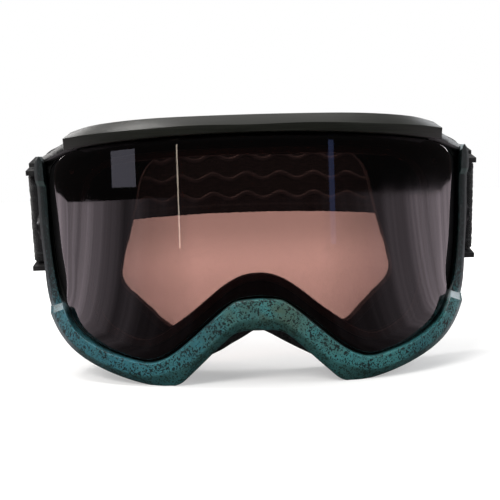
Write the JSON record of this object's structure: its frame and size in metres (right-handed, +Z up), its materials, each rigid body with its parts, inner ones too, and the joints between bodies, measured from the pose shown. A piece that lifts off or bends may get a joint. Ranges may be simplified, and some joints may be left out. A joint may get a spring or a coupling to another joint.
{
  "type": "sports protective goggles",
  "caption": "Snow-sport goggles: tinted wrap-round lens that pulls off a padded frame, tilting outriggers and an elastic head strap with sliding adjusters",
  "frame": {"origin": "bottom centre of the bounding box: X 0 is the plane of symmetry, Y 0 is half way from the brow bar's front to the back of the strap loop, Z 0 is the level of the two flats under the cheek lobes", "axes": "+X to the right of someone looking at the front of the goggles, +Y from the lens towards the wearer's head and the strap, +Z up; left and right in the node names are as seen from the front"},
  "size_m": [0.1928, 0.1799, 0.0967],
  "materials": {
    "frame_plastic": "satin moulded",
    "rim_plastic": "speckled satin",
    "brow_plastic": "soft-touch, faintly brushed",
    "magnet": "nickel plated",
    "socket_metal": "turned",
    "vent_foam": "open-cell foam",
    "foam": "open-cell foam",
    "foam_light": "open-cell foam",
    "fleece": "brushed fleece",
    "pin_metal": "polished",
    "lens_tint": "smoke tint, glossy",
    "lens_clear": "clear, anti-fog",
    "gasket_foam": "closed-cell foam",
    "carrier_plastic": "satin moulded",
    "outrigger_plastic": "satin moulded",
    "webbing": "woven elastic",
    "silicone": "glossy silicone",
    "slider_plastic": "moulded"
  },
  "bodies": {
    "frame": {"frame": "frame_plastic", "lower_rim": "rim_plastic", "brow_bar": "brow_plastic", "frame_magnets": "magnet", "left_snap_socket": "socket_metal", "right_snap_socket": "socket_metal", "top_vent_foam": "vent_foam", "left_vent_foam": "vent_foam", "right_vent_foam": "vent_foam", "foam_base": "foam", "foam_mid": "foam_light", "face_fleece": "fleece", "left_pivot_pin": "pin_metal", "right_pivot_pin": "pin_metal"},
    "lens": {"outer_lens": "lens_tint", "inner_lens": "lens_clear", "lens_gasket": "gasket_foam", "lens_carrier": "carrier_plastic", "lens_magnets": "magnet", "left_snap_pin": "pin_metal", "right_snap_pin": "pin_metal"},
    "strap": {"left_outrigger": "outrigger_plastic", "right_outrigger": "outrigger_plastic", "left_strap_bar": "pin_metal", "right_strap_bar": "pin_metal", "head_strap": "webbing", "strap_grip": "silicone"},
    "left_adjuster": {"left_slider": "slider_plastic"},
    "right_adjuster": {"right_slider": "slider_plastic"}
  },
  "joints": [
    {"name": "lens_release", "type": "slide", "parent": "frame", "child": "lens", "axis": [0, -1, 0], "range_m": [0, 0.035]},
    {"name": "strap_tilt", "type": "hinge", "parent": "frame", "child": "strap", "pos_m": [0, -0.01381, 0.0582], "axis": [1, 0, 0], "range_deg": [-30, 10]},
    {"name": "left_slider_slide", "type": "slide", "parent": "strap", "child": "left_adjuster", "axis": [0, 0.9816, 0.1908], "range_m": [-0.009, 0.01]},
    {"name": "right_slider_slide", "type": "slide", "parent": "strap", "child": "right_adjuster", "axis": [0, 0.9816, 0.1908], "range_m": [-0.009, 0.01]}
  ]
}
